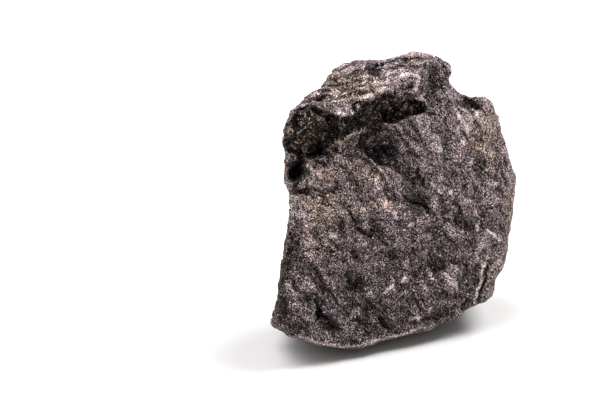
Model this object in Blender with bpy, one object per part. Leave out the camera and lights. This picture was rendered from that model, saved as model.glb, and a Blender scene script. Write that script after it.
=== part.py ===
"""Rough rock: a hand-sized block of dark, fine-grained stone that stands on a small broken flat.

One solid, "rock". Its broad fracture face looks to the front (-Y), a slabby ledge juts out at the
upper left, and a second face turns away at the right. X runs along the broad face, +Z is up, and
the origin is under the middle of the rock, on the surface that it stands on.

The forms are laid out in millimetres in a drafting frame that shows them all at once, turned to
the left of the front and tilted down: across, up, and out toward the viewer. The last step turns
the rock into its own frame and scales it to metres.
"""

import math

import bmesh
import bpy
from mathutils import Matrix, Vector, noise

MM = 0.001

# ---------------------------------------------------------------- driving dimensions, millimetres
DRAFT_TURN = math.radians(24.0)
DRAFT_TILT = math.radians(21.0)
STANDING_HEIGHT = 54.0        # the drafting frame's origin above the surface that the rock stands on
FRONT_REACH = 46.0            # how far out the blank is drawn before its faces are split off
BACK_REACH = -64.0
FRONT_TAPER = 0.09            # the sides close in by this much for each millimetre outward
BACK_TAPER = 0.07
BACK_ROUNDING = 14            # smoothing passes that even out the outline toward the back
VOXEL = 0.9                   # grid that fuses the chunks into one skin
TRIANGLES = 9400
ON_PLANE = 0.0001             # points this close to a cutting plane lie on it
FLAT_SNAP = 0.12              # points this near the standing surface lie on it

# The blank's rim, clockwise from the lower left: across, up, and how far out its edge lies.
RIM = [
    (-42.5, -43.5, -10.5), (-41.8, -37.5, -9.5), (-40.6, -31.0, -8.0), (-40.0, -24.0, -6.0),
    (-38.9, -16.0, -2.0), (-37.1, -8.5, 4.0), (-36.4, -1.5, 8.0), (-36.7, 2.5, 9.0),
    (-38.7, 6.8, 4.0), (-38.9, 12.0, 4.5), (-37.8, 15.5, 9.0), (-39.1, 20.0, 12.5),
    (-38.3, 24.6, 15.0), (-36.5, 29.4, 17.0), (-33.2, 32.0, 16.5), (-31.5, 35.0, 16.0),
    (-28.8, 36.6, 14.0), (-26.4, 38.0, 12.5), (-24.3, 41.4, 11.0), (-22.2, 44.0, 9.5),
    (-18.4, 46.4, 8.5), (-13.9, 48.4, 8.0), (-8.0, 48.3, 7.5), (-2.4, 48.6, 6.0),
    (1.8, 49.9, 5.5), (5.0, 51.2, 5.0), (10.9, 51.5, 3.5), (14.9, 50.6, 1.5),
    (18.0, 48.0, 0.0), (19.5, 45.5, -1.0), (18.5, 42.2, -2.5), (20.4, 40.2, -4.0),
    (22.4, 38.5, -7.0), (24.2, 37.3, -10.0), (27.7, 36.3, -13.5), (32.0, 37.5, -18.0),
    (34.9, 35.8, -20.5), (36.3, 33.3, -22.0), (38.3, 29.0, -22.5), (40.2, 23.0, -23.5),
    (42.3, 16.5, -25.5), (46.0, 8.8, -30.0), (45.4, 0.0, -30.5), (43.9, -10.2, -31.0),
    (42.9, -18.3, -31.0), (41.7, -23.2, -31.0), (38.3, -28.5, -29.0), (36.5, -34.0, -27.5),
    (34.2, -36.5, -26.0), (31.8, -37.9, -23.5), (26.8, -40.5, -20.5), (21.5, -44.0, -18.0),
    (13.3, -46.2, -15.0), (3.8, -48.1, -11.0), (-4.9, -49.7, -7.5), (-11.5, -51.8, -5.0),
    (-17.4, -52.0, -2.5), (-24.5, -51.0, 1.0), (-31.5, -49.4, 3.0), (-37.3, -47.3, 0.5),
    (-41.3, -45.4, -5.5),
]

# Faces of the front: how far out they pass over the middle, and their slope across and up.
BROAD_FACE = (1.2, -0.444, 0.20)
LEDGE_TOP = (40.7, -0.173, -0.685)
RIGHT_FLANK = (33.0, -1.33, 0.08)

# The ledge is made of blocks side by side. Each has its front faces, the stretch across that it
# fills, and, where a slab stands out over a slot, the line that it stays above.
LEDGE_BLOCKS = [
    {"name": "left lump", "faces": [(-1.6, -0.30, 0.585), (-17.6, -0.30, 1.30)],
     "from": -60.0, "until": -19.3},
    {"name": "middle", "faces": [(-23.8, -1.242, 0.95)], "from": -20.5, "until": -5.8},
    {"name": "slab over the slot", "faces": [(-3.7, -0.75, 0.45)], "from": -7.0, "until": 11.4,
     "above": {"point": (-6.5, 36.9), "rise": -0.09}},
    {"name": "back of the slot", "faces": [(-6.6, -0.444, 0.20)], "from": -7.5, "until": 12.0},
]

# The broad face stops below the ledge at straight lips: a point on each, its rise to the right,
# and where it begins.
LOWER_LIPS = [
    {"point": (-26.0, 14.8), "rise": 0.02, "from": -60.0},
    {"point": (-25.5, 15.2), "rise": 0.42, "from": -60.0},
    {"point": (-4.0, 26.6), "rise": 0.25, "from": -5.0},
]
RIGHT_PART_FROM = 10.4        # right of here the broad face climbs on to the peak

# Breaks at the back and underneath: outward direction in the rock's own frame, and distance from
# the middle of the block.
BLOCK_MIDDLE = (5.0, 14.0, 50.0)
BREAKS = [
    ((0.12, 0.95, 0.26), 25.0),
    ((-0.26, 0.95, -0.10), 25.5),
    ((0.80, 0.58, 0.12), 38.0),
    ((-0.74, 0.66, 0.10), 38.0),
    ((-0.20, 0.55, 0.80), 44.5),
    ((0.45, 0.45, 0.78), 44.0),
    ((0.12, 0.80, -0.60), 42.0),
    ((0.62, 0.05, -0.78), 52.5),
    ((0.21, -0.08, -0.97), 50.8),
    ((-0.30, -0.05, -0.95), 55.3),
    ((-0.05, -0.30, -0.95), 54.2),
]

# Low forms of the front: across, up, half length, half width, turn in degrees, and height outward.
HOLLOWS_AND_SWELLS = [
    ("hollow under the slot", -6.2, 19.4, 8.6, 8.4, 0, -4.4),
    ("hollow's deep floor", -5.6, 16.2, 7.2, 4.2, 0, -2.0),
    ("hollow's right wall", -1.2, 21.0, 3.4, 7.0, 0, -1.6),
    ("valley below the hollow", 4.5, 9.0, 13.0, 4.5, -55, -2.6),
    ("deep end of the valley", 9.4, -0.5, 5.5, 4.0, -60, -2.8),
    ("swell of the upper right face", 16.0, 22.0, 17.0, 12.0, 60, 1.2),
    ("cavity at the left edge", -34.6, 10.2, 5.0, 3.6, 80, -8.0),
    ("cavity's tail", -33.8, 3.6, 3.4, 2.4, 0, -3.0),
    ("bench at the left", -27.0, -7.0, 13.0, 4.0, 4, 1.6),
    ("bench at the middle", -8.0, -3.0, 13.0, 4.0, 4, 1.1),
    ("hollow above the bench", -23.0, 3.5, 12.0, 4.0, 3, -1.2),
    ("ridge below the bench", -31.0, -13.0, 6.5, 2.8, 75, 1.5),
    ("bright knob", -6.0, 5.6, 3.2, 2.4, 60, 1.3),
    ("pit left of the middle", -15.0, -8.8, 4.6, 3.0, 80, -1.3),
    ("pit at the middle", -8.0, -11.2, 5.0, 2.8, 10, -1.3),
    ("pit right of the middle", 12.8, -10.2, 3.4, 3.0, 0, -1.3),
    ("pit at the right", 22.5, -8.6, 3.2, 4.6, 0, -1.2),
    ("low left hollow", -22.0, -15.5, 5.5, 2.6, 10, -1.2),
    ("low middle hollow", -14.5, -28.5, 4.5, 4.5, 0, -1.6),
    ("swell at the lower middle", -2.0, -31.0, 7.0, 4.5, 35, 1.2),
    ("swell at the lower right", 18.5, -27.5, 6.5, 5.0, 30, 1.3),
    ("hollow along the lower right edge", 15.0, -41.0, 12.0, 2.4, 14, -1.7),
    ("swell at the lower left", -31.0, -36.0, 7.0, 10.0, 10, 1.0),
    ("slanting groove low at the left", -27.0, -37.5, 6.0, 1.8, -50, -1.4),
    ("slanting groove low at the middle", -3.5, -43.5, 5.0, 1.6, -35, -1.2),
    ("slanting groove low at the right", 10.0, -34.0, 4.5, 1.6, -60, -1.0),
    ("notch below the peak", 26.4, 33.2, 4.6, 2.2, -8, -3.4),
    ("knob right of the notch", 33.0, 34.6, 3.4, 3.0, 20, 1.8),
    ("step down beside the peak", 21.5, 36.0, 3.0, 3.0, 0, -1.6),
    ("hollow of the flank", 30.5, 14.0, 5.0, 9.0, 10, -1.3),
    ("swell of the flank", 41.0, -2.0, 4.0, 12.0, 0, 1.2),
    ("crack over the lower right lump", 30.8, -24.5, 9.5, 1.5, 76, -1.9),
    ("lower right lump", 34.6, -28.5, 6.0, 2.8, 76, 1.0),
    ("pit on the ledge", -6.5, 45.0, 2.8, 1.8, 10, -2.2),
    ("notch in the ledge's edge", 4.0, 39.2, 3.4, 2.0, 0, -2.4),
    ("groove in the ledge's left end", -26.0, 33.4, 5.0, 1.0, 2, -1.3),
    ("swell of the left lump", -31.0, 22.5, 9.0, 6.5, 20, 1.9),
    ("hollow at the lump's upper right", -22.0, 27.0, 3.4, 3.0, 0, -1.2),
]
FACING_START = 0.10           # low forms fade out on sides that turn away from the viewer
FACING_FULL = 0.45
WANDER_SIZE = 5.5             # their outlines wander by up to this much, over this distance
WANDER_REACH = 1.7

# The broken surface all round: flat chips of several sizes, each a cell size and a height, and a
# finer unevenness.
CHIPS = [(21.0, 2.4), (10.0, 1.4), (5.5, 0.7)]
SURFACE_SEED = 1              # fixes where the chips and uneven forms fall, the same on every build
CHIP_TILT = 1.6               # how far a chip's tilt and its level carry it, as shares of its height
CHIP_LEVEL = 0.5
TILT_SEED = 3.7               # scales that give each chip a tilt and a level of its own
LEVEL_SEED = 5.1
CHIP_EDGE = 0.22              # width of the slope between two chips, as a share of their size
CHIPS_AT_RIM = 0.36           # share of their height along the rim, which sets the outline
CHIPS_ON_FRONT = 0.60         # and on faces that look straight out
FRONT_LOOK_START = 0.55       # how squarely a face looks out where its chips rise to that share
FRONT_LOOK_FULL = 0.85
RIM_SLOPE = (-11.0, -0.42)    # how far out the rim lies over the middle, and its slope across
CALM_UNTIL = 3.0              # full-height chips begin between these depths behind the rim
CHIPS_FULL_FROM = 18.0
ROUGHNESS_SIZE = 3.6
ROUGHNESS_HEIGHT = 0.38
ROUGHNESS_OCTAVES = 3

STONE_COLOUR = (0.085, 0.077, 0.079, 1.0)
STONE_ROUGHNESS = 0.88


# ---------------------------------------------------------------- frames and small helpers
def draft_to_rock():
    """The rotation from the drafting frame to the rock's own frame."""
    turn_sin, turn_cos = math.sin(DRAFT_TURN), math.cos(DRAFT_TURN)
    tilt_sin, tilt_cos = math.sin(DRAFT_TILT), math.cos(DRAFT_TILT)
    across = Vector((turn_cos, -turn_sin, 0.0))
    up = Vector((turn_sin * tilt_sin, turn_cos * tilt_sin, tilt_cos))
    out = Vector((-turn_sin * tilt_cos, -turn_cos * tilt_cos, tilt_sin))
    return Matrix((across, up, out)).transposed()


def smoothstep(start, full, value):
    t = min(max((value - start) / (full - start), 0.0), 1.0)
    return t * t * (3.0 - 2.0 * t)


def front_plane(face):
    """Point and outward direction of a face given by its height out and its two slopes."""
    height, across_slope, up_slope = face
    return Vector((0.0, 0.0, height)), Vector((-across_slope, -up_slope, 1.0)).normalized()


def lip_plane(lip, keeps_below=True):
    """A cut straight back along a rising line, which keeps what lies below it or above it."""
    across, up = lip["point"]
    upward = Vector((-lip["rise"], 1.0, 0.0)).normalized()
    return Vector((across, up, 0.0)), upward if keeps_below else -upward


def side_plane(across, direction):
    return Vector((across, 0.0, 0.0)), Vector((direction, 0.0, 0.0))


def break_plane(outward, distance):
    """A break given in the rock's own frame, turned into the drafting frame."""
    to_draft = draft_to_rock().transposed()
    normal = Vector(outward).normalized()
    point = Vector(BLOCK_MIDDLE) + normal * distance - Vector((0.0, 0.0, STANDING_HEIGHT))
    return to_draft @ point, to_draft @ normal


def clear_scene():
    for item in list(bpy.data.objects):
        bpy.data.objects.remove(item, do_unlink=True)


def new_object(name, mesh):
    item = bpy.data.objects.new(name, mesh)
    bpy.context.collection.objects.link(item)
    return item


def baked(mesh, set_up_modifier):
    """The mesh after one modifier, which set_up_modifier adds to a passing object."""
    item = new_object("passing", mesh)
    set_up_modifier(item)
    graph = bpy.context.evaluated_depsgraph_get()
    result = bpy.data.meshes.new_from_object(item.evaluated_get(graph))
    bpy.data.objects.remove(item, do_unlink=True)
    return result


# ---------------------------------------------------------------- the blank and its faces
def ring_points(depth):
    """The rim carried to a depth: drawn in toward the middle, and evened out toward the back."""
    rim = [Vector((across, up, 0.0)) for across, up, _ in RIM]
    points = rim
    if depth < 0.0:
        for _ in range(BACK_ROUNDING):
            points = [
                (points[i - 1] + points[i] * 2.0 + points[(i + 1) % len(points)]) / 4.0
                for i in range(len(points))
            ]
    taper = FRONT_TAPER if depth > 0.0 else BACK_TAPER
    ring = []
    for point, rim_point, (_, _, rim_depth) in zip(points, rim, RIM):
        reach = min(point.length, rim_point.length) - taper * abs(depth - rim_depth)
        moved = point.normalized() * reach
        ring.append(Vector((moved.x, moved.y, depth)))
    return ring


def add_blank(bm):
    """A closed drum from the back ring over the rim to the front ring."""
    rim = [Vector(point) for point in RIM]
    rings = [ring_points(BACK_REACH), rim, ring_points(FRONT_REACH)]
    loops = [[bm.verts.new(point) for point in ring] for ring in rings]
    count = len(RIM)
    for lower, higher in zip(loops, loops[1:]):
        for i in range(count):
            after = (i + 1) % count
            bm.faces.new((lower[i], lower[after], higher[after], higher[i]))
    bm.faces.new(reversed(loops[0]))
    bm.faces.new(loops[-1])
    bmesh.ops.recalc_face_normals(bm, faces=bm.faces)


def split_off(bm, plane):
    """Removes what lies beyond a plane and closes the cut with a flat face."""
    point, outward = plane
    everything = bm.verts[:] + bm.edges[:] + bm.faces[:]
    cut = bmesh.ops.bisect_plane(
        bm, geom=everything, dist=ON_PLANE, plane_co=point, plane_no=outward, clear_outer=True
    )
    edges = [item for item in cut["geom_cut"] if isinstance(item, bmesh.types.BMEdge)]
    if edges:
        bmesh.ops.holes_fill(bm, edges=edges, sides=0)


def add_chunk(mesh, planes):
    """One chunk of the rock: the blank with the given planes split off, joined to the mesh."""
    bm = bmesh.new()
    add_blank(bm)
    for plane in planes:
        split_off(bm, plane)
    bmesh.ops.recalc_face_normals(bm, faces=bm.faces)
    bmesh.ops.triangulate(bm, faces=bm.faces)
    bm.from_mesh(mesh)
    bm.to_mesh(mesh)
    bm.free()


def rough_block():
    """All the chunks as overlapping closed shapes in one mesh."""
    mesh = bpy.data.meshes.new("rough block")
    breaks = [break_plane(outward, distance) for outward, distance in BREAKS]
    shared = breaks + [front_plane(LEDGE_TOP)]
    main = shared + [front_plane(BROAD_FACE), front_plane(RIGHT_FLANK)]
    for lip in LOWER_LIPS:
        add_chunk(mesh, main + [lip_plane(lip), side_plane(lip["from"], -1.0)])
    add_chunk(mesh, main + [side_plane(RIGHT_PART_FROM, -1.0)])
    for block in LEDGE_BLOCKS:
        planes = [front_plane(face) for face in block["faces"]]
        planes += [side_plane(block["from"], -1.0), side_plane(block["until"], 1.0)]
        if "above" in block:
            planes.append(lip_plane(block["above"], keeps_below=False))
        add_chunk(mesh, shared + planes)
    return mesh


# ---------------------------------------------------------------- the broken surface
def low_form(form, place):
    """Height of one hollow or swell at a place on the front."""
    _, middle_across, middle_up, half_length, half_width, turn, height = form
    angle = math.radians(turn)
    from_across, from_up = place.x - middle_across, place.y - middle_up
    along = (from_across * math.cos(angle) + from_up * math.sin(angle)) / half_length
    beside = (from_up * math.cos(angle) - from_across * math.sin(angle)) / half_width
    square = along * along + beside * beside
    if square >= 1.0:
        return 0.0
    return height * (1.0 - square * square) ** 2


def facet_height(scaled, seed):
    """Height on one facet, which has a tilt and a level of its own, for a chip one unit high."""
    tilt = noise.noise_vector(seed * TILT_SEED)
    return CHIP_TILT * (scaled - seed).dot(tilt) + CHIP_LEVEL * noise.noise(seed * LEVEL_SEED)


def chip_height(place, size, height):
    """Flat chips: each cell of the stone is one facet, with a short slope down to the next."""
    scaled = place / size
    distances, seeds = noise.voronoi(scaled)
    own = 0.5 + 0.5 * smoothstep(0.0, CHIP_EDGE, distances[1] - distances[0])
    near = facet_height(scaled, Vector(seeds[0]))
    next_near = facet_height(scaled, Vector(seeds[1]))
    return height * (near * own + next_near * (1.0 - own))


def chip_share(place, normal):
    """How much of their height the chips have: all at the back, least along the rim."""
    behind_rim = RIM_SLOPE[0] + RIM_SLOPE[1] * place.x - place.z
    at_back = smoothstep(CALM_UNTIL, CHIPS_FULL_FROM, behind_rim)
    on_front = CHIPS_ON_FRONT * smoothstep(FRONT_LOOK_START, FRONT_LOOK_FULL, normal.z)
    return max(CHIPS_AT_RIM, at_back, on_front)


def shape_surface(mesh):
    """Moves each point by the low forms of the front, the chips and the fine unevenness."""
    moved = []
    for vertex in mesh.vertices:
        place, normal = vertex.co.copy(), vertex.normal.copy()
        facing = smoothstep(FACING_START, FACING_FULL, normal.z)
        wandered = place + WANDER_REACH * noise.noise_vector(place / WANDER_SIZE)
        outward = sum(low_form(form, wandered) for form in HOLLOWS_AND_SWELLS) * facing
        uneven = sum(chip_height(place, size, height) for size, height in CHIPS)
        uneven *= chip_share(place, normal)
        scaled = place / ROUGHNESS_SIZE
        uneven += ROUGHNESS_HEIGHT * noise.fractal(scaled, 1.0, 2.0, ROUGHNESS_OCTAVES)
        moved.append(place + Vector((0.0, 0.0, outward)) + normal * uneven)
    for vertex, place in zip(mesh.vertices, moved):
        vertex.co = place


def fuse(item):
    remesh = item.modifiers.new("fuse", "REMESH")
    remesh.mode = "VOXEL"
    remesh.voxel_size = VOXEL


def thin_out(item):
    """Fewer, larger facets: the mesh arrives as triangles, so its faces are counted directly."""
    decimate = item.modifiers.new("thin out", "DECIMATE")
    decimate.ratio = TRIANGLES / len(item.data.polygons)
    decimate.use_collapse_triangulate = True


def stand_upright(mesh):
    """Turns the mesh into the rock's own frame and cuts the flat that it stands on."""
    mesh.transform(draft_to_rock().to_4x4())
    mesh.transform(Matrix.Translation((0.0, 0.0, STANDING_HEIGHT)))
    bm = bmesh.new()
    bm.from_mesh(mesh)
    split_off(bm, (Vector((0.0, 0.0, 0.0)), Vector((0.0, 0.0, -1.0))))
    bmesh.ops.triangulate(bm, faces=bm.faces)
    bm.to_mesh(mesh)
    bm.free()


def centre_and_scale(mesh):
    """Puts the origin under the middle of the rock, and the sizes into metres."""
    for vertex in mesh.vertices:
        if vertex.co.z < FLAT_SNAP:
            vertex.co.z = 0.0
    lows = [min(vertex.co[axis] for vertex in mesh.vertices) for axis in range(2)]
    highs = [max(vertex.co[axis] for vertex in mesh.vertices) for axis in range(2)]
    middle = Vector(((lows[0] + highs[0]) / 2.0, (lows[1] + highs[1]) / 2.0, 0.0))
    mesh.transform(Matrix.Translation(-middle))
    mesh.transform(Matrix.Scale(MM, 4))


def stone_material():
    material = bpy.data.materials.new("dark stone")
    material.use_nodes = True
    shader = material.node_tree.nodes["Principled BSDF"]
    shader.inputs["Base Color"].default_value = STONE_COLOUR
    shader.inputs["Roughness"].default_value = STONE_ROUGHNESS
    shader.inputs["Metallic"].default_value = 0.0
    return material


def make_rock():
    noise.seed_set(SURFACE_SEED)
    mesh = baked(rough_block(), fuse)
    shape_surface(mesh)
    stand_upright(mesh)
    mesh = baked(mesh, thin_out)
    centre_and_scale(mesh)
    mesh.materials.clear()
    mesh.materials.append(stone_material())
    mesh.name = "rock"
    return new_object("rock", mesh)


clear_scene()
make_rock()
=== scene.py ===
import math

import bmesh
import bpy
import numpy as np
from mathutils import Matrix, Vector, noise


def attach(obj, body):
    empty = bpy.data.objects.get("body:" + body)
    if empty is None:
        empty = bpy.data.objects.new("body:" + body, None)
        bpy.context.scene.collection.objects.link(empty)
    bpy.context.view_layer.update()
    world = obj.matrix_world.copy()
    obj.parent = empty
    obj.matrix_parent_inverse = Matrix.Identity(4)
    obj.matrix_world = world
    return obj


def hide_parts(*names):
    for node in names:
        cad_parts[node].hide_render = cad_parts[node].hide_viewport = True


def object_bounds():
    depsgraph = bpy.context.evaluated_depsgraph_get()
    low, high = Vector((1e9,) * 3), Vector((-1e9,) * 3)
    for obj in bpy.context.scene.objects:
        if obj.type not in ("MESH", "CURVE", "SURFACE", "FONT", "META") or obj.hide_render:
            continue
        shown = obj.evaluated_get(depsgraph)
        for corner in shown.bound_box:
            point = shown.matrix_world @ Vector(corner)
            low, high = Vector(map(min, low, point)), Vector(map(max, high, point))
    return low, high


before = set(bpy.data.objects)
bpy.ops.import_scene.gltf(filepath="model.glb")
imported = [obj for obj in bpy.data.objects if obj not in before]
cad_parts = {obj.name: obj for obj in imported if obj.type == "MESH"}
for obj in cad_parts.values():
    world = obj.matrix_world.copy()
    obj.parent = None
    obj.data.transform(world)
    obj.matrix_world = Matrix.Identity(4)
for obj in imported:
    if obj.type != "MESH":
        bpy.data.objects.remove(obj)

# Looks for the rough rock. One piece, "stone", replaces the plain solid: the same shape remeshed
# finely and given the relief that is too fine for the solid, such as thin layers, small chips,
# cracks and grain. Its material is dark, fine-grained stone with pale, ochre and rusty patches,
# with painted shade in its hollows, creases and under the ledge, and painted light on what stands
# out, on its upper part, on the ledge's top and along some edges.
#
# Places are given in the solid's drafting frame, in millimetres: across, up, and out toward the
# camera. The frame is turned to the left of the rock's front and tilted down.

CAD_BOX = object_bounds()
MM = 0.001

# ---------------------------------------------------------------- driving values
DRAFT_TURN = math.radians(24.0)
DRAFT_TILT = math.radians(21.0)
DRAFT_ORIGIN = Vector((-3.74, -17.20, 54.0))     # in the rock's own frame, mm

WELD_DISTANCE = 0.000001      # points of the solid nearer than this become one, m
FINE_VOXEL = 0.45             # grid of the fine mesh, mm
FACET_SOFTENING = 5           # smoothing passes that take off the solid's flat facets
TRIANGLES = 196000            # of the finished piece
SURFACE_SEED = 4              # fixes where random forms fall, the same on every run

# Each noise is read with a shift of its own, so that no two kinds of form fall together, mm.
SHIFT = {"step waves": 11.0, "strong steps": 23.0, "middling patches": 40.0, "strong cracks": 57.0}

# A range (start, full) below says where a share starts and where it is full. These are ranges of
# how squarely a point faces the camera, from -1 to 1, for drawn forms to show on it: as shapes, as
# colours, and as the ledge's dark front, which is partly painted shade.
SHAPE_FACING = (0.10, 0.40)
COLOUR_FACING = (0.0, 0.25)
FRONT_FACING = (-0.3, 0.0)

# The strength of a patch and of a line falls softly between these shares of its half width.
PATCH_EDGE = (0.2, 1.2)
LINE_EDGE = (0.2, 1.0)

# Drawn forms wander, one kind of wave after the other: size of the waves and their reach, mm.
GROOVE_WANDER = [(3.0, 0.8)]
PATCH_WANDER = [(8.0, 3.2), (2.5, 1.3)]
FRONT_WANDER = [(2.0, 0.9)]
MARK_WANDER = [(4.0, 0.6), (1.5, 0.5)]

# Straight edges of the stone wander sideways: size of the waves and their reach, mm.
WOBBLE = [(7.0, 0.8), (2.6, 0.35)]

# Small broken chips: cell size and height, mm. On the broad face they are longer along the slant.
SMALL_CHIPS = [(6.5, 1.30), (2.6, 0.45)]
RIM_WEAR = 0.65               # how much of them is worn away where the surface turns away
RIM_WIDTH = 0.25              # how squarely the surface may face the camera and still be a rim
CHIP_TILT = 2.2               # how steep their facets are
CHIP_LEVEL = 0.35             # how much their levels differ
CHIP_STRETCH = 1.9            # how much longer they are along the slant
LEDGE_CHIPS = 0.6             # how much of their height they have on the ledge
TILT_SEED = 3.7               # these two give each chip a tilt and a level of its own
LEVEL_SEED = 5.1

# The ledge's fronts, dark stone with painted shade, crumbled into knobs: size and height, mm, and
# how much more their edges wander.
KNOBS = [(3.6, 1.9), (1.8, 0.8)]
CRUMBLED_WOBBLE = 1.6
KNOB_CREASE = (0.05, -0.20)   # range of a knob's height where the painted shade of the crease beside it lies

# Painted light on points that stand out and painted shade in hollows, at several scales: smoothing
# passes, and the height that counts as fully raised, mm.
RELIEF_LIGHT_SCALES = [(8, 0.25), (60, 0.8)]

# Edges that are worn smooth, (across, up), how far from them, mm, and how much is worn away.
WORN_EDGES = [
    [(-38.0, -44.0), (-34.0, -46.9), (-26.3, -50.0), (-17.5, -51.5), (-12.0, -51.2),
     (-4.0, -48.8), (6.0, -47.0), (15.0, -44.8), (24.0, -41.5)],
    [(42.0, 22.0), (45.0, 8.0), (45.5, -6.0), (42.5, -18.0), (38.5, -27.0)],
]
WORN_REACH = 6.0
EDGE_WEAR = 0.70

# Uneven grain: size and height, mm.
GRAIN = [(2.6, 0.18), (1.0, 0.14)]

# The ledge's top: ranges of how far its surface looks up, of its height, mm, and of the place
# across where it ends. It reaches lower away from its middle.
LEDGE_LOOKS_UP = (0.25, 0.5)
LEDGE_HEIGHT = (24.0, 30.0)
LEDGE_RIGHT_END = (9.0, 14.0)
LEDGE_MIDDLE = -20.0
LEDGE_DROOP = 0.2

# It is made of thin layers, which show as steps on its top and left end, mm.
LAYER_PITCH = 2.5
LAYER_HEIGHT = 0.8
LAYER_RISE = 0.16             # rise of the layers to the right
LAYER_WANDER = 1.5            # how far they wander up and down, in waves of the next size
LAYER_WAVES = 9.0
LAYER_STEP = (0.0, 0.25)      # ranges within one layer of its steep front, and of its dark foot
LAYER_FOOT = (0.05, 0.3)

# The broad face broke in slanting steps and thin cracks: direction that they run in, how far apart
# they are, how much they wander, and their height or depth, mm.
SLANT = math.radians(-50.0)
SLANT_STRETCH = 5.0
STEP_PITCH = 7.5
STEP_WANDER = 5.0
STEP_WAVES = 7.0
STEP_HEIGHT = 1.7
STEP_FRONT = (0.0, 0.12)      # ranges within one step of its steep front, and of its dark foot
STEP_FOOT = (0.03, 0.1)
STRONG_STEPS = (-0.1, 0.4)    # range of a broad noise where steps show, and the noise's size, mm
STRONG_STEPS_SIZE = 13.0
CRACK_SPACING = 4.0
CRACK_DEPTH = 0.6
CRACK_SHARPNESS = 0.12
STRONG_CRACKS = (0.0, 0.3)    # as for the steps
STRONG_CRACKS_SIZE = 8.0

# How dark the painted shade is at the feet of the steps and of the layers, next to a groove.
STEP_FEET_SHADE = 0.8
LAYER_FEET_SHADE = 0.38

# The ledge's dark broken front, dark stone with painted shade, lies between its lit upper edge and
# its foot, (across, up).
FRONT_TOP = [(-38.0, 24.0), (-36.0, 28.9), (-33.2, 31.4), (-28.8, 31.2), (-26.5, 29.6),
             (-23.1, 30.2), (-19.7, 27.9), (-17.2, 28.9), (-15.4, 32.3), (-8.2, 33.6),
             (-7.0, 35.8), (-3.9, 36.9), (2.5, 37.2), (6.2, 35.9), (10.8, 34.8)]
FRONT_FOOT = [(-38.0, 17.0), (-33.2, 15.0), (-25.7, 14.6), (-23.0, 18.8), (-19.7, 20.1),
              (-16.2, 22.3), (-12.0, 23.9), (-9.0, 23.9), (-5.4, 24.3), (-4.5, 27.6),
              (1.9, 28.5), (6.1, 30.6), (11.0, 31.0)]
FRONT_SOFTNESS = 0.5          # half the width of its soft upper and lower edges, mm
FRONT_LEFT_END = (-40.0, -38.0)         # ranges across of its soft ends
FRONT_RIGHT_END = (12.5, 10.5)
FRONT_SET_BACK = 1.4          # how far it is set back from the ledge's edge, mm
FRONT_JUTS_OUT = (2.0, 11.0)  # range of how far out the ledge is for that
# How strongly it is darkened, with dark stone and painted shade: place across, and strength.
FRONT_STRENGTH = [(-22.0, 0.76), (-18.0, 1.26), (-8.5, 1.2), (-6.0, 0.7), (0.0, 0.32),
                  (4.5, 0.05), (10.0, 0.0)]

# Grooves and cracks: name, points (across, up), half width and depth, mm. They also get painted
# shade as creases.
GROOVES = [
    ("gap under the left lump", [(-34.0, 14.9), (-29.0, 15.3), (-24.0, 15.6)], 1.0, 1.4),
    ("wedge below the lump", [(-30.5, 14.6), (-27.1, 13.6), (-24.3, 11.9)], 1.1, 0.9),
    ("below the cavity", [(-33.2, 3.4), (-30.5, 2.7)], 0.9, 0.8),
    ("gash, lower left, upper", [(-23.5, -30.5), (-21.4, -33.7), (-19.3, -36.6)], 0.8, 0.9),
    ("gash, lower left, middle", [(-28.4, -35.3), (-27.0, -37.5), (-25.6, -40.0)], 1.0, 1.0),
    ("gash, lower left, lower", [(-23.2, -40.4), (-20.0, -45.1)], 1.1, 0.9),
    ("gash, low middle", [(-5.4, -42.0), (-1.8, -46.0)], 0.9, 0.9),
    ("gash, low right", [(9.1, -32.7), (10.2, -35.6), (11.6, -38.5)], 0.8, 0.8),
    ("rim of the hollow", [(-11.4, 24.5), (-11.0, 18.5), (-7.5, 14.2), (-1.0, 12.6)], 1.6, 0.9),
    ("gash beside the valley", [(17.9, 8.1), (20.2, 5.3)], 0.6, 0.6),
    ("gash in the valley", [(7.1, 10.5), (10.3, 6.7)], 0.8, 0.9),
    ("gash in the deep end", [(3.5, 1.4), (6.5, -1.0), (10.9, -2.5)], 0.9, 1.0),
    ("gash, middle", [(-4.6, -17.5), (-2.4, -19.6)], 0.7, 0.6),
    ("gash by the flank", [(23.4, 24.3), (25.4, 21.2)], 0.7, 0.7),
    ("gash on the flank, left", [(27.0, 18.5), (27.5, 14.9)], 0.6, 0.6),
    ("gash on the flank, right", [(32.6, 17.5), (33.2, 12.2)], 0.7, 0.7),
    ("gash, right", [(21.8, -5.0), (22.7, -7.8), (24.2, -11.0)], 0.7, 0.6),
    ("gash, left of the middle", [(-13.1, -10.1), (-8.8, -13.3)], 0.8, 0.7),
    ("gash, middle, small", [(-6.7, -11.2), (-3.9, -13.3)], 0.7, 0.7),
    ("gash, left, upper", [(-16.7, -4.5), (-13.8, -8.3)], 0.8, 0.6),
    ("gash, left, lower", [(-22.9, -13.8), (-20.1, -15.9)], 0.8, 0.6),
    ("gash at the left rim", [(-35.9, -27.8), (-34.6, -30.9)], 0.7, 0.7),
    ("gash, low left hollow", [(-16.5, -26.5), (-12.9, -31.5)], 1.0, 0.8),
    ("gash, right of the middle", [(5.5, -16.6), (7.0, -19.1)], 0.6, 0.6),
    ("gash, right hollow", [(12.2, -22.0), (14.4, -24.9)], 0.8, 0.6),
    ("line over the bright streak", [(34.0, -9.8), (39.6, -13.2)], 0.6, 0.7),
    ("crack by the lower right lump", [(34.6, -19.0), (34.3, -24.0), (33.4, -29.0), (31.6, -36.0)],
     0.8, 1.3),
]
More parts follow.
